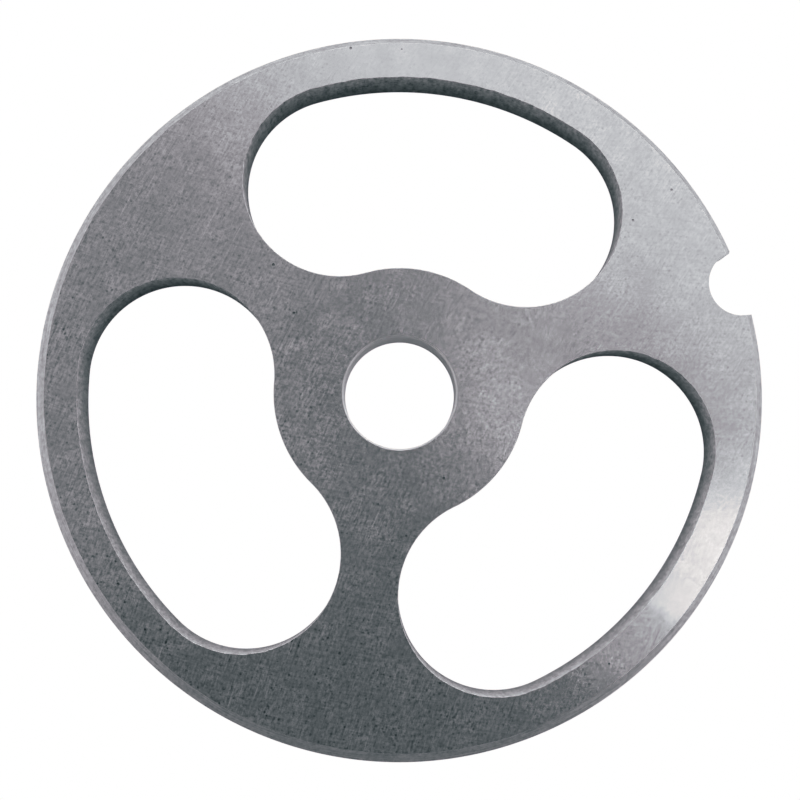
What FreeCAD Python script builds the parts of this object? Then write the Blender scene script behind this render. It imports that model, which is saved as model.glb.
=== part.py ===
"""Sausage stuffing plate: a ground steel disc that closes the outlet of a meat grinder.

The plate replaces the grinder's hole plate when sausages are filled. It holds the far end of
the worm and lets the meat past through three kidney-shaped openings. It is one solid.

It lies flat on Z = 0 with the bore's axis on Z. The middle of the spoke that carries the rim
notch points along +X. Every length is in millimetres and every angle in degrees.
"""

import FreeCAD, Part
import math
import os

import Sketcher

OUTPUT_FOLDER = "parts"
PLATE_NAME = "stuffing_plate"

# The driving dimensions. A grinder of the common number 12 size takes a 70 mm plate.
SIZES = {
    # The disc.
    "plate_diameter": 70.0,
    "plate_thickness": 5.0,
    "rim_chamfer": 0.8,
    # The bore that guides the pin at the end of the worm.
    "bore_diameter": 10.8,
    "bore_chamfer": 0.15,
    # What the openings leave standing: the rim, the hub and the spokes at their narrowest.
    "opening_count": 3,
    "rim_width": 4.1,
    "hub_diameter": 24.2,
    "spoke_width": 5.8,
    # The notch for the locating pin: how far its centre lies inside the rim circle, and how
    # far it lags behind the middle of its spoke.
    "notch_diameter": 6.3,
    "notch_inset": 0.3,
    "notch_lag": 2.7,
}

# Two radii or centres count as the same below this difference.
MATCH_TOLERANCE = 0.001

# Sketcher's names for what a constraint refers to.
X_AXIS = -1
ORIGIN = (-1, 1)
START, END, CENTRE = 1, 2, 3


def make_sheet(doc):
    """The spreadsheet of driving dimensions, one row for each name and value."""
    sheet = doc.addObject("Spreadsheet::Sheet", "Sizes")
    for row, (name, value) in enumerate(SIZES.items(), start=1):
        sheet.set(f"A{row}", name)
        sheet.set(f"B{row}", str(value))
        sheet.setAlias(f"B{row}", name)
    doc.recompute()
    return sheet


def origin_feature(body, role):
    """One of the body's own origin planes or axes."""
    return next(item for item in body.Origin.OriginFeatures if item.Role == role)


def sketch_on_underside(body, name):
    """An empty sketch on the plane of the plate's lower face."""
    sketch = body.newObject("Sketcher::SketchObject", name)
    sketch.AttachmentSupport = (origin_feature(body, "XY_Plane"), [""])
    sketch.MapMode = "FlatFace"
    return sketch


def bind(sketch, name, constraint, formula):
    """Adds a dimension to a sketch, names it and ties it to the sheet."""
    sketch.renameConstraint(sketch.addConstraint(constraint), name)
    sketch.setExpression(f"Constraints.{name}", formula)


def circle_sketch(body, name, diameter, formula):
    """A sketch with one circle round the plate's axis."""
    sketch = sketch_on_underside(body, name)
    circle = sketch.addGeometry(Part.Circle(FreeCAD.Vector(), FreeCAD.Vector(0, 0, 1), diameter / 2))
    sketch.addConstraint(Sketcher.Constraint("Coincident", circle, CENTRE, *ORIGIN))
    bind(sketch, "diameter", Sketcher.Constraint("Diameter", circle, diameter), formula)
    return sketch


def cut_through(doc, body, name, sketch):
    """Cuts a sketch's outline through the whole thickness, upwards from the lower face."""
    volume_before = body.Tip.Shape.Volume
    pocket = body.newObject("PartDesign::Pocket", name)
    pocket.Profile = sketch
    pocket.Type = "ThroughAll"
    pocket.Reversed = True
    doc.recompute()
    if pocket.Shape.Volume >= volume_before:
        raise RuntimeError(f"{name} cuts nothing")
    return pocket


def break_edges(doc, body, name, radius, formula):
    """Chamfers both round edges of one radius about the plate's axis."""
    base = body.Tip
    edges = []
    for number, edge in enumerate(base.Shape.Edges, start=1):
        is_circle = isinstance(edge.Curve, Part.Circle)
        if is_circle and abs(edge.Curve.Radius - radius) < MATCH_TOLERANCE:
            edges.append(f"Edge{number}")
    if len(edges) != 2:
        raise RuntimeError(f"{name} found {len(edges)} edges, not 2")
    chamfer = body.newObject("PartDesign::Chamfer", name)
    chamfer.Base = (base, edges)
    chamfer.setExpression("Size", formula)
    doc.recompute()
    return chamfer


def make_disc(doc, body, sheet):
    """The round blank with its bore, both rim edges chamfered and both bore edges broken."""
    outline = circle_sketch(body, "disc_outline", sheet.plate_diameter, "Sizes.plate_diameter")
    disc = body.newObject("PartDesign::Pad", "disc")
    disc.Profile = outline
    disc.setExpression("Length", "Sizes.plate_thickness")
    doc.recompute()
    bore_outline = circle_sketch(body, "bore_outline", sheet.bore_diameter, "Sizes.bore_diameter")
    cut_through(doc, body, "bore", bore_outline)
    break_edges(doc, body, "rim_chamfers", sheet.plate_diameter / 2, "Sizes.rim_chamfer")
    break_edges(doc, body, "bore_chamfers", sheet.bore_diameter / 2, "Sizes.bore_chamfer")


def opening_sketch(body, sheet):
    """One kidney: a slot with round ends, bent about the plate's axis, its middle on -X.

    Its long sides are arcs about the plate's axis, one along the rim and one along the hub, and
    each end is an arc tangent to both. How far it reaches round is set by the spoke's width.
    """
    rim_radius = sheet.plate_diameter / 2 - sheet.rim_width
    hub_radius = sheet.hub_diameter / 2
    end_radius = (rim_radius - hub_radius) / 2
    pitch_radius = hub_radius + end_radius
    spoke_clearance = sheet.spoke_width / 2 + end_radius
    half_pitch = math.pi / sheet.opening_count
    half_reach = half_pitch - math.asin(spoke_clearance / pitch_radius)
    upper, lower = math.pi - half_reach, math.pi + half_reach

    axis = FreeCAD.Vector(0, 0, 1)
    middle = FreeCAD.Vector()
    upper_centre = FreeCAD.Vector(pitch_radius * math.cos(upper), pitch_radius * math.sin(upper), 0)
    lower_centre = FreeCAD.Vector(pitch_radius * math.cos(lower), pitch_radius * math.sin(lower), 0)

    sketch = sketch_on_underside(body, "opening_outline")
    rim_side = sketch.addGeometry(
        Part.ArcOfCircle(Part.Circle(middle, axis, rim_radius), upper, lower))
    lower_end = sketch.addGeometry(
        Part.ArcOfCircle(Part.Circle(lower_centre, axis, end_radius), lower, lower + math.pi))
    hub_side = sketch.addGeometry(
        Part.ArcOfCircle(Part.Circle(middle, axis, hub_radius), upper, lower))
    upper_end = sketch.addGeometry(
        Part.ArcOfCircle(Part.Circle(upper_centre, axis, end_radius), upper - math.pi, upper))

    # The arcs meet end to end without a corner.
    sketch.addConstraint(Sketcher.Constraint("Tangent", rim_side, END, lower_end, START))
    sketch.addConstraint(Sketcher.Constraint("Tangent", lower_end, END, hub_side, END))
    sketch.addConstraint(Sketcher.Constraint("Tangent", hub_side, START, upper_end, START))
    sketch.addConstraint(Sketcher.Constraint("Tangent", upper_end, END, rim_side, START))
    sketch.addConstraint(Sketcher.Constraint("Coincident", rim_side, CENTRE, *ORIGIN))
    sketch.addConstraint(Sketcher.Constraint("Coincident", hub_side, CENTRE, *ORIGIN))
    sketch.addConstraint(Sketcher.Constraint("Vertical", lower_end, CENTRE, upper_end, CENTRE))

    # The middle line of the spoke above the opening, from the plate's axis to the rim.
    spoke_angle = math.pi - half_pitch
    reach = sheet.plate_diameter / 2
    spoke_tip = FreeCAD.Vector(reach * math.cos(spoke_angle), reach * math.sin(spoke_angle), 0)
    spoke_line = sketch.addGeometry(Part.LineSegment(middle, spoke_tip), True)
    sketch.addConstraint(Sketcher.Constraint("Coincident", spoke_line, START, *ORIGIN))
    bind(sketch, "spoke_reach", Sketcher.Constraint("Distance", spoke_line, reach),
         "Sizes.plate_diameter / 2")
    bind(sketch, "spoke_angle", Sketcher.Constraint("Angle", spoke_line, spoke_angle),
         "180 deg - 180 deg / Sizes.opening_count")

    bind(sketch, "rim_radius", Sketcher.Constraint("Radius", rim_side, rim_radius),
         "Sizes.plate_diameter / 2 - Sizes.rim_width")
    bind(sketch, "hub_radius", Sketcher.Constraint("Radius", hub_side, hub_radius),
         "Sizes.hub_diameter / 2")
    bind(sketch, "spoke_clearance",
         Sketcher.Constraint("Distance", upper_end, CENTRE, spoke_line, spoke_clearance),
         "Sizes.spoke_width / 2 + "
         "(Sizes.plate_diameter / 2 - Sizes.rim_width - Sizes.hub_diameter / 2) / 2")
    return sketch


def cut_openings(doc, body, sheet):
    """The kidney openings, one cut and then repeated evenly round the axis."""
    opening = cut_through(doc, body, "opening", opening_sketch(body, sheet))
    openings = body.newObject("PartDesign::PolarPattern", "openings")
    openings.Originals = [opening]
    openings.Axis = (origin_feature(body, "Z_Axis"), [""])
    openings.Angle = 360
    openings.setExpression("Occurrences", "Sizes.opening_count")
    body.Tip = openings
    doc.recompute()


def cut_notch(doc, body, sheet):
    """The half-round notch in the rim, cut after the chamfers as it runs through both."""
    radius = sheet.plate_diameter / 2 - sheet.notch_inset
    lag = math.radians(sheet.notch_lag)
    centre = FreeCAD.Vector(radius * math.cos(lag), -radius * math.sin(lag), 0)
    sketch = sketch_on_underside(body, "notch_outline")
    circle = sketch.addGeometry(
        Part.Circle(centre, FreeCAD.Vector(0, 0, 1), sheet.notch_diameter / 2))
    bind(sketch, "diameter", Sketcher.Constraint("Diameter", circle, sheet.notch_diameter),
         "Sizes.notch_diameter")
    bind(sketch, "along_spoke",
         Sketcher.Constraint("DistanceX", *ORIGIN, circle, CENTRE, centre.x),
         "(Sizes.plate_diameter / 2 - Sizes.notch_inset) * cos(Sizes.notch_lag)")
    bind(sketch, "beside_spoke",
         Sketcher.Constraint("DistanceY", circle, CENTRE, *ORIGIN, -centre.y),
         "(Sizes.plate_diameter / 2 - Sizes.notch_inset) * sin(Sizes.notch_lag)")
    cut_through(doc, body, "rim_notch", sketch)


def make_plate(doc, sheet):
    """The whole plate as one body."""
    body = doc.addObject("PartDesign::Body", PLATE_NAME)
    body.Label = PLATE_NAME
    body.Placement = FreeCAD.Placement()
    make_disc(doc, body, sheet)
    cut_openings(doc, body, sheet)
    cut_notch(doc, body, sheet)
    return body


def check_document(doc):
    """Stops the build when a feature failed or a sketch is left loose."""
    for item in doc.Objects:
        faults = {"Invalid", "Error"}.intersection(item.State)
        if faults:
            raise RuntimeError(f"{item.Label} is in state {sorted(faults)}")
        if item.TypeId == "Sketcher::SketchObject" and not item.FullyConstrained:
            raise RuntimeError(f"{item.Label} is not fully constrained")


def check_solid(shape):
    """Stops the build when the plate isn't one valid solid."""
    if shape.isNull() or not shape.isValid() or len(shape.Solids) != 1:
        raise RuntimeError(f"{PLATE_NAME} is not one valid solid")


def main():
    doc = FreeCAD.newDocument("sausage_stuffing_plate")
    sheet = make_sheet(doc)
    plate = make_plate(doc, sheet)
    doc.recompute()
    check_document(doc)
    check_solid(plate.Shape)
    os.makedirs(OUTPUT_FOLDER, exist_ok=True)
    plate.Shape.exportStep(os.path.join(OUTPUT_FOLDER, f"{plate.Label}.step"))
    box = plate.Shape.BoundBox
    print(f"{plate.Label}: {box.XLength:.2f} x {box.YLength:.2f} x {box.ZLength:.2f} mm, "
          f"volume {plate.Shape.Volume:.1f} mm3, {len(plate.Shape.Faces)} faces")


main()
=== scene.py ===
# %% [markdown]
# # A sausage stuffing plate
#
# This lesson dresses one part: the flat steel plate with three kidney-shaped openings that takes the place
# of the hole plate in a meat grinder when sausages are filled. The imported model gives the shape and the
# frame. Here the plate is cut again in Blender with the small things that the photograph shows, and it gets
# the finish of ground and turned steel.

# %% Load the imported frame
import math

import bpy
from mathutils import Matrix, Vector


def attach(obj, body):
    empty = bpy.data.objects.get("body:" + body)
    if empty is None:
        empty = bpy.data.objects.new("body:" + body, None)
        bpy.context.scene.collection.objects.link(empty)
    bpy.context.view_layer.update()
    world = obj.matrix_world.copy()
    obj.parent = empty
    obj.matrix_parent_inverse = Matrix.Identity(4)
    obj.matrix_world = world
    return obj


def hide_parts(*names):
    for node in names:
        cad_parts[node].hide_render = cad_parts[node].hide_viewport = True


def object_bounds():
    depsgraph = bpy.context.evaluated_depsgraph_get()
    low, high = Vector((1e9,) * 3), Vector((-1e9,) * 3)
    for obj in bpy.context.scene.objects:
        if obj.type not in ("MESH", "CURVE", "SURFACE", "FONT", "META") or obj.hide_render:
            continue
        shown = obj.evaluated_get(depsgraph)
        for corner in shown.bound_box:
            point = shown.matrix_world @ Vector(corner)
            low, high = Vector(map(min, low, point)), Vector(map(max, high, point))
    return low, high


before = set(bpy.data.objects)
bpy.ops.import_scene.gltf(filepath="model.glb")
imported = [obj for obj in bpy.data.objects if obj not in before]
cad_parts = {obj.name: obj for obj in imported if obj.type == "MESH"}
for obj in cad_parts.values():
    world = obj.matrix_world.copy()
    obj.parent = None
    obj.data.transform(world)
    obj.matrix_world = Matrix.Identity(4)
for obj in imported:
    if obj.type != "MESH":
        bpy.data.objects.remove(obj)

MM = 0.001
cad_low, cad_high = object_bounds()
print("nodes:", sorted(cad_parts), "box:", tuple(round(v / MM, 2) for v in cad_high - cad_low), "mm")

# %% [markdown]
# ## Where the photographer stood
#
# The photograph looks almost straight down from close by, so the walls of the openings show at the top and
# at the outer side. The camera's place was fitted to the edges of the plate. Positions in the studio are
# easier to give as the photographer sees them, right and up across the picture and above the table, so one
# helper turns such a place into the plate's own frame.

# %% The studio's directions
LIES_TURNED = math.radians(20.58)
TOP = cad_high.z


def studio(right, up, above):
    """A place in the studio, in mm across the picture and above the plate's upper face."""
    turned = Matrix.Rotation(-LIES_TURNED, 4, "Z") @ Vector((right, up, above))
    return turned * MM + Vector((0, 0, TOP))


def look_at(thing, eye, target, up):
    """Puts a camera or lamp at the eye, facing the target."""
    back = (eye - target).normalized()
    side = up.cross(back).normalized()
    turn = Matrix((side, back.cross(side), back)).transposed()
    thing.matrix_world = Matrix.Translation(eye) @ turn.to_4x4()


# %% The camera
SENSOR = 36.0
FOCAL_PX, FRAME_PX = 1369.4, 800
camera = bpy.data.objects.new("camera", bpy.data.cameras.new("camera"))
bpy.context.scene.collection.objects.link(camera)
bpy.context.scene.camera = camera
camera.data.sensor_width = SENSOR
camera.data.lens = FOCAL_PX / FRAME_PX * SENSOR
camera.data.clip_start = 0.01
EYE, AIM = studio(-0.784, -10.56, 130.916), studio(0.024, -0.70, 0.0)
look_at(camera, EYE, AIM, studio(0, 1, 0) - studio(0, 0, 0))
print("camera", [round(v / MM, 2) for v in camera.location], "lens", round(camera.data.lens, 2))

# %% [markdown]
# ## Helpers for node materials
#
# A material is a handful of nodes that feed one shader. This helper adds a node, sets its menus, and fills
# or links its inputs, so that each material below reads like a recipe.

# %% Adding a node


def add(tree, kind, inputs=None, **menus):
    """Adds a node. An input that is given a socket is linked, and any other value is set."""
    made = tree.nodes.new(kind)
    for name, value in menus.items():
        setattr(made, name, value)
    for name, value in (inputs or {}).items():
        if isinstance(value, bpy.types.NodeSocket):
            tree.links.new(value, made.inputs[name])
        else:
            made.inputs[name].default_value = value
    return made


def maths(tree, operation, a, b=0.0, clamp=False):
    """One sum of two numbers or sockets, and gives its result."""
    return add(tree, "ShaderNodeMath", {0: a, 1: b}, operation=operation, use_clamp=clamp).outputs[0]


def product(tree, first, *others):
    """Several numbers or sockets, multiplied."""
    for other in others:
        first = maths(tree, "MULTIPLY", first, other)
    return first


def dotted(tree, place, direction):
    """How far a place lies in a direction."""
    made = add(tree, "ShaderNodeVectorMath", {0: place, 1: direction}, operation="DOT_PRODUCT")
    return made.outputs["Value"]


def apart(tree, place, point):
    """How far a place lies from a point."""
    made = add(tree, "ShaderNodeVectorMath", {0: place, 1: point}, operation="DISTANCE")
    return made.outputs["Value"]


def share_of(tree, value, none_at, all_at, **menus):
    """How far a value has come from one end of a range to the other, from none to all."""
    inputs = {"Value": value, "From Min": none_at, "From Max": all_at}
    return add(tree, "ShaderNodeMapRange", inputs, **menus).outputs[0]


def ramp(tree, value, none_at, all_at):
    """The same with soft ends."""
    return share_of(tree, value, none_at, all_at, interpolation_type="SMOOTHSTEP")


def mixed(tree, share, first, second):
    """A colour that goes from the first to the second as the share grows."""
    made = add(tree, "ShaderNodeMix", {0: share, 6: first, 7: second}, data_type="RGBA")
    return made.outputs[2]


# %% [markdown]
# ## The table and the studio's air
#
# The plate was photographed on pure white. A table that is really that bright would light the walls of the
# openings from below, and in the photograph they are dark. So the camera sees white paper, and the steel
# sees a light grey table with a dark card laid in front of the plate. From underneath, the paper lets the
# camera through, and close beneath the plate it glows a little, so that the lower face can be seen.
#
# The room around the table is the other light that the chamfer and the walls see. It is dim in front,
# brighter at both sides and brightest behind, and dim overhead. That is why the chamfer is dark only at the
# lower edge of the picture.

# %% White paper for the camera, grey for the metal
WHITE = (1.0, 1.0, 1.0, 1.0)
TABLE_GREY = (0.80, 0.80, 0.80, 1.0)
CARD_GREY = (0.16, 0.16, 0.16, 1.0)
CARD_EDGE = (-55 * MM, -25 * MM)
GLOW, CLOSE_BENEATH = 0.4, 0.1 * MM
BRIGHTER_SIDE = (studio(0.10, 0.995, 0) - studio(0, 0, 0)) / MM


def paper():
    """The table's material."""
    material = bpy.data.materials.new("white paper")
    material.use_nodes = True
    tree = material.node_tree
    tree.nodes.clear()
    ray = add(tree, "ShaderNodeLightPath").outputs["Is Camera Ray"]
    side = add(tree, "ShaderNodeNewGeometry").outputs["Backfacing"]
    white = add(tree, "ShaderNodeEmission", {"Color": WHITE, "Strength": 1.0}).outputs[0]
    place = add(tree, "ShaderNodeTexCoord").outputs["Object"]
    along = dotted(tree, place, BRIGHTER_SIDE)
    tone = mixed(tree, share_of(tree, along, CARD_EDGE[0], CARD_EDGE[1]), CARD_GREY, TABLE_GREY)
    grey = add(tree, "ShaderNodeBsdfDiffuse", {"Color": tone}).outputs[0]
    glow = add(tree, "ShaderNodeEmission", {"Color": WHITE, "Strength": GLOW}).outputs[0]
    went = add(tree, "ShaderNodeLightPath").outputs["Ray Length"]
    beneath = maths(tree, "LESS_THAN", went, CLOSE_BENEATH)
    grey = add(tree, "ShaderNodeMixShader", {0: beneath, 1: grey, 2: glow}).outputs[0]
    clear = add(tree, "ShaderNodeBsdfTransparent").outputs[0]
    seen = add(tree, "ShaderNodeMixShader", {0: side, 1: white, 2: clear}).outputs[0]
    both = add(tree, "ShaderNodeMixShader", {0: ray, 1: grey, 2: seen}).outputs[0]
    add(tree, "ShaderNodeOutputMaterial", {"Surface": both})
    return material


bpy.ops.mesh.primitive_plane_add(size=4.0, location=(0, 0, -0.02 * MM))
table = bpy.context.object
table.name = "paper"
table.data.materials.append(paper())
print("table:", tuple(round(v, 2) for v in table.dimensions), "m")

# %% The air around it
world = bpy.data.worlds.new("studio")
bpy.context.scene.world = world
world.use_nodes = True
tree = world.node_tree
tree.nodes.clear()
toward = add(tree, "ShaderNodeTexCoord").outputs["Generated"]
facing = dotted(tree, toward, BRIGHTER_SIDE)
height = add(tree, "ShaderNodeSeparateXYZ", {0: toward}).outputs["Z"]
ZENITH = (0.163, 0.163, 0.163, 1.0)
FRONT = (0.198, 0.198, 0.198, 1.0)
SIDES = (0.580, 0.580, 0.580, 1.0)
BACK = (0.853, 0.853, 0.853, 1.0)
around = mixed(tree, ramp(tree, facing, -0.95, -0.35), FRONT, SIDES)
around = mixed(tree, share_of(tree, facing, -0.4, 1.0), around, BACK)
room = mixed(tree, share_of(tree, height, 0.25, 0.75), around, ZENITH)
dim = add(tree, "ShaderNodeBackground", {"Color": room}).outputs[0]
plain = add(tree, "ShaderNodeBackground", {"Color": WHITE}).outputs[0]
ray = add(tree, "ShaderNodeLightPath").outputs["Is Camera Ray"]
shown = add(tree, "ShaderNodeMixShader", {0: ray, 1: dim, 2: plain}).outputs[0]
add(tree, "ShaderNodeOutputWorld", {"Surface": shown})
print("air:", len(world.node_tree.nodes), "nodes")

# %% [markdown]
# ## How the photograph is toned
#
# The steel, the lamps and the paper are all neutral grey. The photograph is not: its dark greys are
# slightly blue-green, its middle greys slightly pink and its brightest parts slightly warm, wherever on the
# plate they are. That is the toning of the picture, so it belongs to the camera and not to the steel. Each
# line gives a grey level from 0 to 255 and how many levels red, green and blue lie above it.

# %% Toning the picture
TONING = (
    (40, -6, 2, 4), (85, -5, 1, 4), (120, -2, -1, 3), (150, 0, -2, 3), (185, -2, -1, 3), (204, -2, -1, 2),
    (222, 2, -1, -1),
)


def light_of(level):
    """The amount of light that a screen shows for a level from 0 to 255."""
    return ((level / 255 + 0.055) / 1.055) ** 2.4


view = bpy.context.scene.view_settings
view.view_transform = "Standard"
view.use_curve_mapping = True
for channel in range(3):
    points = view.curve_mapping.curves[channel].points
    for tone in TONING:
        points.new(light_of(tone[0]), light_of(tone[0] + tone[channel + 1]))
view.curve_mapping.update()
print("toned at", [tone[0] for tone in TONING])

# %% [markdown]
# ## Soft lamps
#
# Flat ground steel shows the lamps as a blurred mirror does, so its light and dark parts are mostly the
# studio's.
# A large soft box hangs beyond the upper right corner of the picture, and a weak fill hangs on the left. A
# narrow strip lightens the right of the hub, and a small lamp beside it, the patch, gives the bright patch
# at the lower right of the rim, which a painted highlight in the face's colour makes brighter still.
# Nothing hangs over the lower edge, so the plate is darkest there. A wide back light stands behind the
# plate and leans over it, for the chamfer and the walls that face it.

# %% Five lamps
LAMPS_ABOVE = 450.0


def lamp(name, place, wide, deep, turned, watts, aim=None):
    """A soft rectangular lamp that faces straight down, or towards the plate."""
    light = bpy.data.lights.new(name, "AREA")
    light.shape = "RECTANGLE"
    light.size, light.size_y = wide * MM, deep * MM
    light.energy = watts
    made = bpy.data.objects.new(name, light)
    bpy.context.scene.collection.objects.link(made)
    eye = studio(*place)
    if aim is None:
        made.location = eye
        made.rotation_euler.z = math.radians(turned) - LIES_TURNED
    else:
        look_at(made, eye, studio(*aim), Vector((0, 0, 1)))
    made.visible_camera = False
    return made


lamp("soft box", (86, 302, LAMPS_ABOVE), 391, 635, 60.2, 0.769)
lamp("strip", (94, -11, LAMPS_ABOVE), 10, 190, 45.0, 0.0232)
lamp("patch", (170, -20, LAMPS_ABOVE), 130, 45, 41.2, 0.0500)
lamp("fill", (-183, 69, LAMPS_ABOVE), 217, 316, 86.5, 0.0504)
lamp("back light", (220, 520, 370), 1700, 800, 0.0, 2.66, aim=(0, 0, 0))

# %% [markdown]
# ## Cutting the plate
#
# The maker starts with a disc, turns its rim and its bore, mills the three openings and files the notch.
# The same order works here. The disc is a cylinder with bevelled edges, and everything that is cut away is
# one tool shape, so a single boolean cuts it all.

# %% Choosing what an operator acts on


def only(piece):
    """Leaves one piece selected and active, in object mode."""
    if bpy.context.object and bpy.context.object.mode != "OBJECT":
        bpy.ops.object.mode_set(mode="OBJECT")
    bpy.ops.object.select_all(action="DESELECT")
    piece.select_set(True)
    bpy.context.view_layer.objects.active = piece


def choose(piece, kind, test):
    """Selects the points or level edges whose middle passes the test, and goes into edit mode."""
    only(piece)
    bpy.ops.object.mode_set(mode="EDIT")
    bpy.ops.mesh.select_mode(type=kind)
    bpy.ops.mesh.select_all(action="DESELECT")
    bpy.ops.object.mode_set(mode="OBJECT")
    spots = [v.co.copy() for v in piece.data.vertices]
    if kind == "VERT":
        for point in piece.data.vertices:
            point.select = test(point.co)
        chosen = sum(point.select for point in piece.data.vertices)
    else:
        for edge in piece.data.edges:
            a, b = (spots[i] for i in edge.vertices)
            edge.select = abs(a.z - b.z) < LEVEL and test((a + b) / 2)
        chosen = sum(edge.select for edge in piece.data.edges)
    bpy.ops.object.mode_set(mode="EDIT")
    return chosen


def place_in_mesh(piece):
    """Leaves the object at the origin, with its place in its mesh."""
    only(piece)
    bpy.ops.object.transform_apply(location=True, rotation=True, scale=True)


# %% The plate's sizes
LEVEL = 0.001 * MM
RADIUS, THICK = 35.0 * MM, TOP
RIM_CHAMFER, EDGE_BREAK = 0.8 * MM, 0.15 * MM
BORE_RADIUS = 5.4 * MM
NOTCH_RADIUS, NOTCH_PLACE = 3.15 * MM, (34.661 * MM, -1.635 * MM)
END_RADIUS, PITCH_RADIUS, HALF_REACH = 9.4 * MM, 21.5 * MM, math.radians(25.1)
OPENING_DIRECTIONS = tuple(math.radians(a) for a in (60, 180, 300))
ARRIS, RIM_ARRIS = 0.045 * MM, 0.012 * MM
OVERSHOOT = 1.0 * MM
print("plate:", 2 * RADIUS / MM, "x", round(THICK / MM, 2), "mm, bore", 2 * BORE_RADIUS / MM, "mm")

# %% [markdown]
# ### One kidney-shaped tool
#
# An opening is a round-ended slot, bent about the bore. Half of one round end is cut from a circle. Its two
# ends are then spun about the plate's axis as far as the middle of the opening, which draws the arc beside
# the rim and the arc beside the hub in one step, and a mirror gives the other half. Filled and pulled up,
# it is the shape of the hole.

# %% The kidney tool
end_centre = Vector((PITCH_RADIUS * math.cos(HALF_REACH), PITCH_RADIUS * math.sin(HALF_REACH), -OVERSHOOT))
outward = Vector((-math.sin(HALF_REACH), math.cos(HALF_REACH), 0))
bpy.ops.object.select_all(action="DESELECT")
bpy.ops.mesh.primitive_circle_add(vertices=160, radius=END_RADIUS, location=end_centre)
kidney = bpy.context.object
place_in_mesh(kidney)
bpy.ops.object.mode_set(mode="EDIT")
bpy.ops.mesh.select_all(action="SELECT")
bpy.ops.mesh.bisect(plane_co=end_centre, plane_no=outward, clear_inner=True, threshold=LEVEL)
ends = choose(kidney, "VERT", lambda p: abs((p - end_centre) @ outward) < LEVEL)
bpy.ops.mesh.spin(steps=36, angle=HALF_REACH, center=(0, 0, -OVERSHOOT), axis=(0, 0, 1))
bpy.ops.object.mode_set(mode="OBJECT")
other_half = kidney.modifiers.new("other half", "MIRROR")
other_half.use_axis = (False, True, False)
other_half.merge_threshold = LEVEL
bpy.ops.object.modifier_apply(modifier=other_half.name)
bpy.ops.object.mode_set(mode="EDIT")
bpy.ops.mesh.select_all(action="SELECT")
bpy.ops.mesh.edge_face_add()
bpy.ops.mesh.extrude_region_move(TRANSFORM_OT_translate={"value": (0, 0, THICK + 2 * OVERSHOOT)})
bpy.ops.mesh.select_all(action="SELECT")
bpy.ops.mesh.normals_make_consistent(inside=False)
bpy.ops.object.mode_set(mode="OBJECT")
print("kidney:", ends, "ends spun,", len(kidney.data.vertices), "points")

# %% All that is cut away
tools = []
for direction in OPENING_DIRECTIONS:
    only(kidney)
    bpy.ops.object.duplicate()
    bpy.ops.transform.rotate(value=direction, orient_axis="Z", center_override=(0, 0, 0))
    tools.append(bpy.context.object)
for radius, (x, y), sides in ((BORE_RADIUS, (0, 0), 256), (NOTCH_RADIUS, NOTCH_PLACE, 128)):
    bpy.ops.mesh.primitive_cylinder_add(
        vertices=sides, radius=radius, depth=THICK + 2 * OVERSHOOT, location=(x, y, THICK / 2)
    )
    tools.append(bpy.context.object)
bpy.data.objects.remove(kidney)
for tool in tools:
    place_in_mesh(tool)
for tool in tools:
    tool.select_set(True)
bpy.ops.object.join()
cutter = bpy.context.object
print("cut away:", len(tools), "shapes")

# %% [markdown]
# ### The disc
#
# The rim's chamfer is turned first, because the notch is filed through it. The chamfer in the photograph is
# wider at the lower left than at the upper right: the lathe's chuck held the disc a little off centre. So
# the edge between the chamfer and the upper face is pushed aside. Where the two meet there is a fine
# rounded line, which catches the light.

# %% Turning the disc
RUN_OUT = studio(0.12, 0.12, 0) - studio(0, 0, 0)
bpy.ops.object.select_all(action="DESELECT")
bpy.ops.mesh.primitive_cylinder_add(vertices=720, radius=RADIUS, depth=THICK, location=(0, 0, THICK / 2))
plate = bpy.context.object
plate.name = "ground_plate"
place_in_mesh(plate)
choose(plate, "EDGE", lambda p: p.xy.length > RADIUS - LEVEL * 10)
bpy.ops.mesh.bevel(offset=RIM_CHAMFER, offset_type="OFFSET", segments=1, affect="EDGES")
choose(plate, "VERT", lambda p: p.z > THICK - LEVEL)
bpy.ops.transform.translate(value=RUN_OUT)
choose(plate, "EDGE", lambda p: p.xy.length < RADIUS - RIM_CHAMFER / 2)
bpy.ops.mesh.bevel(offset=RIM_ARRIS, offset_type="OFFSET", segments=2, affect="EDGES")
only(plate)
print("disc:", len(plate.data.vertices), "points")

# %% Cutting it


def cut_from_plate(tool):
    """Cuts the tool's shape out of the plate, and throws the tool away."""
    only(plate)
    cut = plate.modifiers.new("cut", "BOOLEAN")
    cut.operation, cut.solver, cut.object = "DIFFERENCE", "EXACT", tool
    bpy.ops.object.modifier_apply(modifier=cut.name)
    bpy.data.objects.remove(tool)


cut_from_plate(cutter)
print("cut:", len(plate.data.vertices), "points,", len(plate.data.polygons), "faces")

# %% [markdown]
# ### The worn corner of the notch
#
# The upper corner between notch and rim is blunt in the photograph, and the lower one is still sharp. A
# file takes the tip off, square to the line that halves the corner.

# %% Blunting the corner
CORNER, CORNER_POINTS, TIP = (34.97 * MM, 1.48 * MM), math.radians(-46.5), 0.17 * MM
FILE_WIDE = 2.0 * MM
reach_in = FILE_WIDE / 2 - TIP
bpy.ops.object.select_all(action="DESELECT")
file_x = CORNER[0] + reach_in * math.cos(CORNER_POINTS)
file_y = CORNER[1] + reach_in * math.sin(CORNER_POINTS)
bpy.ops.mesh.primitive_cube_add(
    size=FILE_WIDE, location=(file_x, file_y, THICK / 2), rotation=(0, 0, CORNER_POINTS),
    scale=(1, 1, 2 * THICK / FILE_WIDE),
)
file = bpy.context.object
place_in_mesh(file)
cut_from_plate(file)
print("corner:", len(plate.data.polygons), "faces")

# %% [markdown]
# ### Breaking the edges
#
# The bore has a small chamfer at both faces. The openings and the notch are only deburred, so their edges
# are almost sharp. A fine rounding is given to the edges of the openings, and the notch's edges stay as
# cut.

# %% Bore and openings


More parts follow.
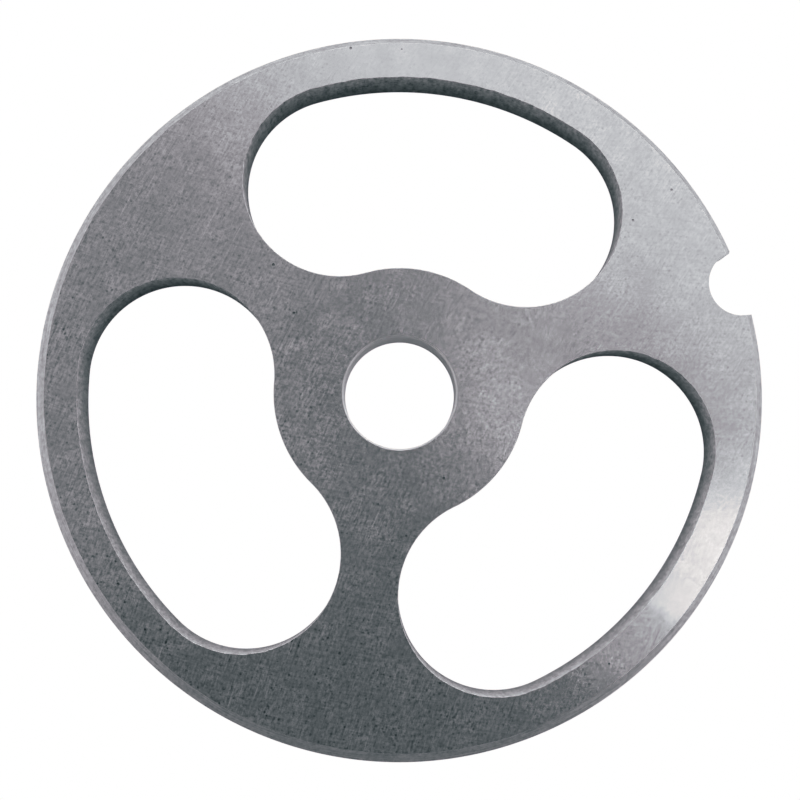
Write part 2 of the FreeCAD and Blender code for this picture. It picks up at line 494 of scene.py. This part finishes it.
def from_opening(p):
    """How far a place lies from the outline of the nearest opening, seen from above."""
    gaps = []
    for direction in OPENING_DIRECTIONS:
        off = (math.atan2(p.y, p.x) - direction + math.pi) % (2 * math.pi) - math.pi
        if abs(off) <= HALF_REACH:
            gaps.append(abs(abs(p.xy.length - PITCH_RADIUS) - END_RADIUS))
        else:
            at = direction + math.copysign(HALF_REACH, off)
            end = Vector((PITCH_RADIUS * math.cos(at), PITCH_RADIUS * math.sin(at)))
            gaps.append(abs((p.xy - end).length - END_RADIUS))
    return min(gaps)


def on_a_face(p):
    """True on the upper or lower face."""
    return abs(p.z - THICK) < LEVEL or abs(p.z) < LEVEL


NEAR = 0.02 * MM
broken = choose(plate, "EDGE", lambda p: on_a_face(p) and abs(p.xy.length - BORE_RADIUS) < NEAR)
bpy.ops.mesh.bevel(offset=EDGE_BREAK, offset_type="OFFSET", segments=1, affect="EDGES")
deburred = choose(plate, "EDGE", lambda p: on_a_face(p) and from_opening(p) < NEAR)
bpy.ops.mesh.bevel(offset=ARRIS, offset_type="OFFSET", segments=2, affect="EDGES")
only(plate)
print("edges broken:", broken, "deburred:", deburred)

# %% [markdown]
# ### Ragged edges
#
# The milling cutter left small steps where it came through the faces, about as long as a tooth moves on in
# one turn, and the lathe tool left the edge of the chamfer a little uneven. Noise pushes the points of
# these edges about in the plane of the upper face, so the face stays flat. A ring of points cut into the
# walls just below keeps the steps from running down the whole wall. The lower edges look clean in the
# photograph and stay so.

# %% Uneven edges
STEP_DEPTH = 0.30 * MM
only(plate)
bpy.ops.object.mode_set(mode="EDIT")
bpy.ops.mesh.select_all(action="SELECT")
bpy.ops.mesh.bisect(plane_co=(0, 0, THICK - STEP_DEPTH), plane_no=(0, 0, -1), threshold=LEVEL)
only(plate)


def push_about(name, test, wavelength, reach):
    """Moves the points that pass the test by noise, across and along, up to the reach either way."""
    moved = plate.vertex_groups.new(name=name)
    moved.add([v.index for v in plate.data.vertices if test(v.co)], 1.0, "REPLACE")
    for axis, seed in (("X", 0), ("Y", 1)):
        clouds = bpy.data.textures.new(f"{name} {axis}", "CLOUDS")
        clouds.noise_scale = wavelength * (1.0 + 0.13 * seed)
        clouds.noise_depth = 1
        push = plate.modifiers.new(name, "DISPLACE")
        push.texture, push.direction, push.vertex_group = clouds, axis, name
        push.mid_level, push.strength = 0.5, 4 * reach
        bpy.ops.object.modifier_apply(modifier=push.name)
    plate.vertex_groups.clear()


def on_outer_edge(p):
    """True on the upper edge of an opening, in its half towards the rim."""
    return p.z > THICK - ARRIS * 1.1 and p.xy.length > PITCH_RADIUS + 3 * MM and from_opening(p) < 0.1 * MM


def on_chamfer_edge(p):
    """True where the rim's chamfer meets the upper face."""
    return p.z > THICK - ARRIS and RADIUS - RIM_CHAMFER * 1.4 < p.xy.length < RADIUS - RIM_CHAMFER * 0.6


push_about("steps", on_outer_edge, 0.75 * MM, 0.035 * MM)
push_about("chamfer edge", on_chamfer_edge, 1.1 * MM, 0.02 * MM)
print("ragged:", len(plate.data.vertices), "points")

# %% [markdown]
# ### Small pits
#
# A few deeper pits show in the upper face, with old dirt in them. Each is the cap of a small ball, given by
# its place in the photographer's directions and its width, in mm.

# %% Pits
PITS = ((26.4, 19.8, 0.24), (22.6, 16.8, 0.24), (-4.8, 33.8, 0.28), (0.2, 33.7, 0.16), (19.8, -25.7, 0.22),
        (-10.2, 7.7, 0.28), (-12.2, 12.4, 0.30), (0.6, -13.7, 0.30), (-2.1, -10.7, 0.28), (4.2, -8.2, 0.28))
balls = []
bpy.ops.object.select_all(action="DESELECT")
for right, up, width in PITS:
    bpy.ops.mesh.primitive_uv_sphere_add(
        segments=20, ring_count=12, radius=width * 0.65 * MM, location=studio(right, up, width * 0.42)
    )
    balls.append(bpy.context.object)
    place_in_mesh(balls[-1])
for ball in balls:
    ball.select_set(True)
bpy.ops.object.join()
cut_from_plate(bpy.context.object)
print("pits:", len(balls), "and", len(plate.data.polygons), "faces in all")

# %% [markdown]
# ## Finishes
#
# The upper and lower faces are ground, the rim and its chamfers are turned, and the walls of the openings
# are left as they were milled, dark and dull.

# %% The grain that all the finishes share


def steel_grain():
    """A node group: the mottle of steel and the clouds in it, both about zero, and its pits."""
    group = bpy.data.node_groups.new("steel grain", "ShaderNodeTree")
    group.interface.new_socket("Place", in_out="INPUT", socket_type="NodeSocketVector")
    group.interface.new_socket("Grain size", in_out="INPUT", socket_type="NodeSocketFloat")
    for name in ("Mottle", "Clouds", "Pits"):
        group.interface.new_socket(name, in_out="OUTPUT", socket_type="NodeSocketFloat")
    given = add(group, "NodeGroupInput").outputs
    scale = maths(group, "DIVIDE", 1.0, given["Grain size"])
    fine = noise(group, given["Place"], scale, 2.0, 0.7)
    clouds = noise(group, given["Place"], maths(group, "DIVIDE", scale, 6.0), 2.0, 0.5)
    inputs = {"Vector": given["Place"], "Scale": maths(group, "DIVIDE", scale, 1.3)}
    cell = add(group, "ShaderNodeTexVoronoi", inputs, voronoi_dimensions="2D").outputs
    chance = add(group, "ShaderNodeSeparateColor", {0: cell["Color"]}).outputs[0]
    reach = maths(group, "MULTIPLY", maths(group, "SUBTRACT", chance, 0.45), 0.6)
    pits = maths(group, "MULTIPLY", maths(group, "SUBTRACT", reach, cell["Distance"]), 7.0, clamp=True)
    add(group, "NodeGroupOutput", {"Mottle": fine, "Clouds": clouds, "Pits": pits})
    return group


def noise(tree, place, scale, detail, roughness):
    """Noise about zero that mostly stays between minus and plus one."""
    inputs = {"Vector": place, "Scale": scale, "Detail": detail, "Roughness": roughness}
    made = add(tree, "ShaderNodeTexNoise", inputs)
    return maths(tree, "MULTIPLY", maths(tree, "SUBTRACT", made.outputs[0], 0.5), 4.0)


grain_nodes = steel_grain()
print("grain:", len(grain_nodes.nodes), "nodes")


def in_mm(tree):
    """The place on the piece, in mm."""
    place = add(tree, "ShaderNodeTexCoord").outputs["Object"]
    return add(tree, "ShaderNodeVectorMath", {0: place, "Scale": 1 / MM}, operation="SCALE").outputs[0]


def steel(name, roughness, grain_size):
    """A new metal: its nodes, its shader, the place on it and the shared grain."""
    material = bpy.data.materials.new(name)
    material.use_nodes = True
    tree = material.node_tree
    shader = tree.nodes["Principled BSDF"]
    shader.inputs["Metallic"].default_value = 1.0
    shader.inputs["Roughness"].default_value = roughness
    place = in_mm(tree)
    shared = tree.nodes.new("ShaderNodeGroup")
    shared.node_tree = grain_nodes
    shared.inputs["Grain size"].default_value = grain_size
    tree.links.new(place, shared.inputs["Place"])
    return material, tree, shader, place, shared.outputs


def layered(tree, *layers):
    """The sum of patterns, each given with its strength."""
    total = 0.0
    for pattern, strength in layers:
        made = add(tree, "ShaderNodeMath", {0: pattern, 1: strength, 2: total}, operation="MULTIPLY_ADD")
        total = made.outputs[0]
    return total


def tinted(tree, shader, colour, tone):
    """Gives the shader a colour that the tone makes lighter above zero and darker below it."""
    factor = maths(tree, "MAXIMUM", maths(tree, "ADD", tone, 1.0), 0.1)
    made = add(tree, "ShaderNodeVectorMath", {0: colour, "Scale": factor}, operation="SCALE").outputs[0]
    tree.links.new(made, shader.inputs["Base Color"])


# %% [markdown]
# ### The ground face
#
# The faces are ground flat by the rim of a large cup wheel, which leaves fine arcs that all lean the same
# way, and a fainter set crosses them. Between them the steel is mottled and a little pitted. All this is
# strongest at the left of the hub and low in the picture, weaker towards the right, and hardly there at the
# top of the rim. At the lower right of the rim the grain is weaker, and a painted highlight lightens a
# patch there, with a band of painted light below it. The patterns colour the face, and they also make a
# very shallow relief, which tips the reflection.

# %% Arcs of the wheel, mottle and pits
WHEEL_CENTRE, WHEEL_RADIUS = studio(206, -99, 0) / MM, 222.0
PATCH_CENTRE = studio(28.2, -16.3, 0) / MM
PATCH_RUNS = (studio(0.5, 0.87, 0) - studio(0, 0, 0)) / MM
CROSSING_CENTRE, CROSSING_RADIUS = studio(42, 236, 0) / MM, 240.0
SMOOTH_PLACE, ROUGH_PLACE = studio(1, 34, 0) / MM, studio(-9, 1, 0) / MM
CLEANER_SIDE = (studio(0.8, 0.6, 0) - studio(0, 0, 0)) / MM
LIGHTEST = 0.22


def arcs(tree, place, centre, radius, across, along, detail):
    """Noise drawn out along the arcs about a centre, with its sizes across and along them in mm."""
    off = add(tree, "ShaderNodeVectorMath", {0: place, 1: centre}, operation="SUBTRACT").outputs[0]
    x, y, z = add(tree, "ShaderNodeSeparateXYZ", {0: off}).outputs
    flat = add(tree, "ShaderNodeCombineXYZ", {0: x, 1: y}).outputs[0]
    reach = add(tree, "ShaderNodeVectorMath", {0: flat}, operation="LENGTH").outputs["Value"]
    run = maths(tree, "MULTIPLY", maths(tree, "ARCTAN2", y, x), radius / along)
    lines = {0: maths(tree, "DIVIDE", reach, across), 1: run, 2: maths(tree, "DIVIDE", z, across)}
    return noise(tree, add(tree, "ShaderNodeCombineXYZ", lines).outputs[0], 1.0, detail, 0.6)


def painted_rim_highlight(tree, place, clouds):
    """The painted highlight on the patch and the painted lighter band below it, and how near they are."""
    off = add(tree, "ShaderNodeVectorMath", {0: place, 1: PATCH_CENTRE}, operation="SUBTRACT").outputs[0]
    far = apart(tree, place, PATCH_CENTRE)
    run = dotted(tree, off, PATCH_RUNS)
    run = layered(tree, (clouds, 0.5), (run, 1.0))
    patch = product(tree, ramp(tree, run, -6.2, -5.0), ramp(tree, run, 8.5, 5.5))
    low_end = product(tree, ramp(tree, run, -6.2, -5.0), ramp(tree, run, -1.5, -4.5))
    painted_band = product(tree, ramp(tree, run, -16.0, -12.0), ramp(tree, run, -8.0, -11.0))
    limit = ramp(tree, far, 18.0, 16.0)
    # The patch and its low end are a painted highlight, and the band below them is painted light.
    painted_highlight = product(tree, layered(tree, (patch, 0.13), (low_end, 0.12)), limit)
    painted_band = product(tree, layered(tree, (painted_band, 0.22)), limit)
    return painted_highlight, painted_band, ramp(tree, far, 13.0, 9.0)


ground, tree, shader, place, shared = steel("ground face", 0.211, 0.36)
dashes = arcs(tree, place, WHEEL_CENTRE, WHEEL_RADIUS, 0.20, 0.9, 2.0)
lines = arcs(tree, place, WHEEL_CENTRE, WHEEL_RADIUS, 0.16, 6.0, 1.0)
scratches = product(tree, lines, lines, lines)
crossing = arcs(tree, place, CROSSING_CENTRE, CROSSING_RADIUS, 0.18, 3.5, 1.0)
stains = noise(tree, place, 0.22, 2.0, 0.6)
along = dotted(tree, place, CLEANER_SIDE)
strength = add(
    tree, "ShaderNodeMapRange",
    {"Value": along, "From Min": -16.0, "From Max": 14.0, "To Min": 1.32, "To Max": 0.54},
).outputs[0]
beyond_smooth = ramp(tree, apart(tree, place, SMOOTH_PLACE), 4.0, 15.0)
in_rough = ramp(tree, apart(tree, place, ROUGH_PLACE), 14.0, 4.0)
low_down = ramp(tree, dotted(tree, place, BRIGHTER_SIDE), -4.0, -14.0)
# A painted highlight and a painted lighter band, added to the colour below.
painted_highlight, painted_band, near = painted_rim_highlight(tree, place, shared["Clouds"])
strength = product(
    tree, strength,
    layered(tree, (beyond_smooth, 0.6), (1.0, 0.4)),
    layered(tree, (in_rough, 0.35), (1.0, 1.0)),
    layered(tree, (low_down, 0.22), (1.0, 1.0)),
    layered(tree, (painted_highlight, -2.4), (1.0, 1.0)),
    layered(tree, (near, -0.35), (1.0, 1.0)),
    layered(tree, (shared["Clouds"], 0.5), (1.0, 1.0)),
)
pattern = layered(
    tree, (shared["Mottle"], 0.26), (dashes, 0.22), (crossing, 0.10), (shared["Pits"], -0.29),
    (shared["Clouds"], 0.04),
)
pattern = layered(tree, (maths(tree, "MINIMUM", pattern, LIGHTEST), 1.0), (scratches, 0.20))
tone = layered(
    # The last two terms paint the highlight and the lighter band below it into the colour.
    tree, (pattern, strength), (stains, 0.05), (shared["Clouds"], 0.05), (painted_highlight, 1.0), (painted_band, 1.0)
)
tinted(tree, shader, (0.5, 0.5, 0.5), tone)
relief = layered(tree, (shared["Mottle"], 0.80), (dashes, 0.45), (crossing, 0.15), (shared["Pits"], -0.8))
relief = product(tree, relief, strength, layered(tree, (near, -0.5), (1.0, 1.0)))
bump = add(tree, "ShaderNodeBump", {"Strength": 1.0, "Distance": 0.001 * MM, "Height": relief}).outputs[0]
tree.links.new(bump, shader.inputs["Normal"])
print("ground face:", len(tree.nodes), "nodes")

# %% [markdown]
# ### The turned rim
#
# The rim and its chamfers were turned on a lathe, so their marks run round the plate. They are cleaner and
# lighter than the faces.

# %% Rings of the lathe tool
turned, tree, shader, place, shared = steel("turned rim", 0.35, 0.5)
rings = arcs(tree, place, (0.0, 0.0, 0.0), RADIUS / MM, 0.14, 4.0, 2.0)
tone = layered(tree, (rings, 0.25), (shared["Mottle"], 0.26), (shared["Clouds"], 0.08))
tinted(tree, shader, (0.78, 0.78, 0.78), tone)
bump = add(tree, "ShaderNodeBump", {"Strength": 1.0, "Distance": 0.002 * MM, "Height": rings}).outputs[0]
tree.links.new(bump, shader.inputs["Normal"])
print("turned rim:", len(tree.nodes), "nodes")

# %% [markdown]
# ### The milled walls
#
# The walls of the openings are dull. Painted shade makes them darker towards the lower face, and painted
# light makes the walls that face the top of the picture lighter than the others, and, a little, those that
# face its left. The side of the cutter left faint marks across them from face to face.

# %% Cutter marks, painted shade and painted light
# Greys for the painted shade low on the walls, and the side whose walls get painted light.
SHADED_WALL_GREY, UPPER_WALL_GREY = (0.27, 0.27, 0.27, 1.0), (0.61, 0.61, 0.61, 1.0)
LIT_WALL_SIDE = (studio(-0.3, 0.954, 0) - studio(0, 0, 0)) / MM
DRAWN_OUT = (1.0, 1.0, 0.25)
milled, tree, shader, place, shared = steel("milled wall", 0.5, 0.35)
drawn_out = add(tree, "ShaderNodeVectorMath", {0: place, 1: DRAWN_OUT}, operation="MULTIPLY").outputs[0]
cutter_marks = noise(tree, drawn_out, 2.5, 2.0, 0.6)
height = add(tree, "ShaderNodeSeparateXYZ", {0: place}).outputs[2]
# Painted shade: the walls get darker towards the lower face, deep in the openings.
colour = mixed(tree, share_of(tree, height, 1.0, 4.6), SHADED_WALL_GREY, UPPER_WALL_GREY)
outward = add(tree, "ShaderNodeTexCoord").outputs["Normal"]
# Painted light: walls that face the top of the picture are lighter, and, a little, those that face its
# left.
painted_wall_light = dotted(tree, outward, LIT_WALL_SIDE)
tone = layered(
    tree, (cutter_marks, 0.40), (shared["Mottle"], 0.35), (shared["Clouds"], 0.12), (painted_wall_light, 0.33)
)
tinted(tree, shader, colour, tone)
print("milled wall:", len(tree.nodes), "nodes")

# %% [markdown]
# ### The reamed bore
#
# The bore was reamed to size and then rubbed by the pin that turns in it, so it is brighter than the other
# walls. Its marks run round it.

# %% Marks of the reamer
reamed, tree, shader, place, shared = steel("reamed bore", 0.3, 0.35)
rings = arcs(tree, place, (0.0, 0.0, 0.0), BORE_RADIUS / MM, 0.15, 2.0, 2.0)
tone = layered(tree, (rings, 0.12), (shared["Mottle"], 0.10), (shared["Clouds"], 0.06))
tinted(tree, shader, (0.85, 0.85, 0.85), tone)
bump = add(tree, "ShaderNodeBump", {"Strength": 1.0, "Distance": 0.002 * MM, "Height": rings}).outputs[0]
tree.links.new(bump, shader.inputs["Normal"])
print("reamed bore:", len(tree.nodes), "nodes")

# %% [markdown]
# ### Dirt in the pits
#
# The wheel doesn't reach into the pits, so they are dull and dark. There is less dirt in them on the
# cleaner side of the plate, at the upper right of the picture.

# %% Dull floors
THICK_DIRT, THIN_DIRT = (0.15, 0.15, 0.15, 1.0), (0.38, 0.38, 0.38, 1.0)
dirty, tree, shader, place, shared = steel("dirt in pits", 0.6, 0.15)
colour = mixed(tree, ramp(tree, dotted(tree, place, CLEANER_SIDE), -2.0, 14.0), THICK_DIRT, THIN_DIRT)
tinted(tree, shader, colour, layered(tree, (shared["Mottle"], 0.30)))
print("dirt in pits:", len(tree.nodes), "nodes")


def in_a_pit(p):
    """True below the upper face and close to the middle of a pit."""
    if not THICK / 2 < p.z < THICK - LEVEL:
        return False
    return any((p - studio(right, up, 0)).length < width * 0.55 * MM for right, up, width in PITS)


# %% [markdown]
# ### Which finish goes where
#
# Each face of the mesh shows by its place and its direction how it was made.

# %% Dressing the plate
ALMOST_LEVEL = 0.99


def finish_of(face):
    """The finish of one face of the mesh."""
    if in_a_pit(face.center):
        return dirty
    if abs(face.normal.z) > ALMOST_LEVEL:
        return ground
    if face.center.xy.length > RADIUS - RIM_CHAMFER * 1.4:
        return turned
    if face.center.xy.length < BORE_RADIUS + EDGE_BREAK:
        return reamed
    return milled


finishes = [ground, turned, milled, reamed, dirty]
for finish in finishes:
    plate.data.materials.append(finish)
for face in plate.data.polygons:
    face.material_index = finishes.index(finish_of(face))
only(plate)
bpy.ops.object.shade_smooth_by_angle(angle=math.radians(5))
print("finishes:", [finish.name for finish in finishes])
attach(plate, "root")
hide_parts("stuffing_plate")
